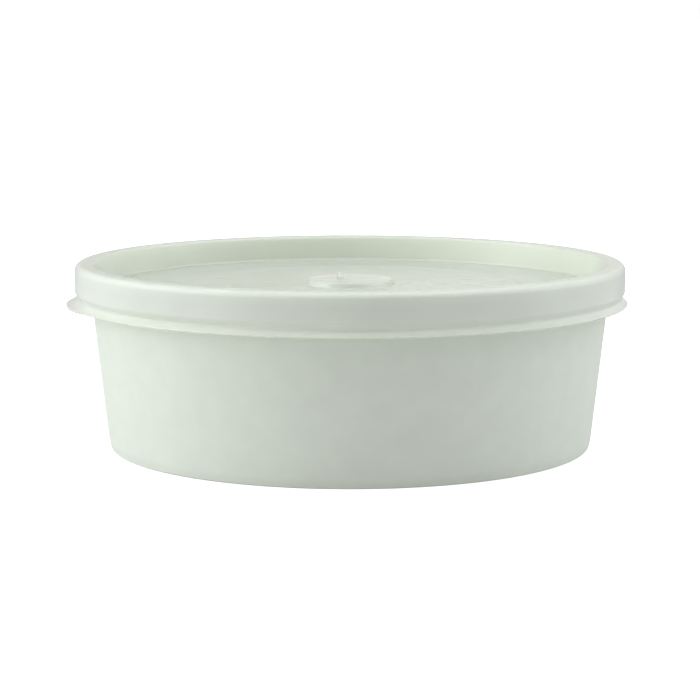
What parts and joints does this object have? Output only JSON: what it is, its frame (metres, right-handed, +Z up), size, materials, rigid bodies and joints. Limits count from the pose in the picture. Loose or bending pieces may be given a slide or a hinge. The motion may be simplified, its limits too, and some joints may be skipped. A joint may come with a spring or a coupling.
{
  "type": "paper salad bowl",
  "caption": "Round shallow paper salad bowl with a rolled rim, closed by a frosted plastic press-on lid with a sunk panel and a pull tab.",
  "frame": {"origin": "on the bowl's axis, in the plane it stands on", "axes": "+Z up along the bowl's axis; -X towards the lid's pull tab; +Y to complete a right-handed set"},
  "size_m": [0.1929, 0.1908, 0.0635],
  "materials": {
    "paperboard": "smooth white coated board, satin",
    "frosted_plastic": "milky translucent polypropylene, softly glossy"
  },
  "bodies": {
    "root": {"bowl_wall": "paperboard", "bowl_base": "paperboard", "lid": "frosted_plastic"}
  },
  "joints": []
}
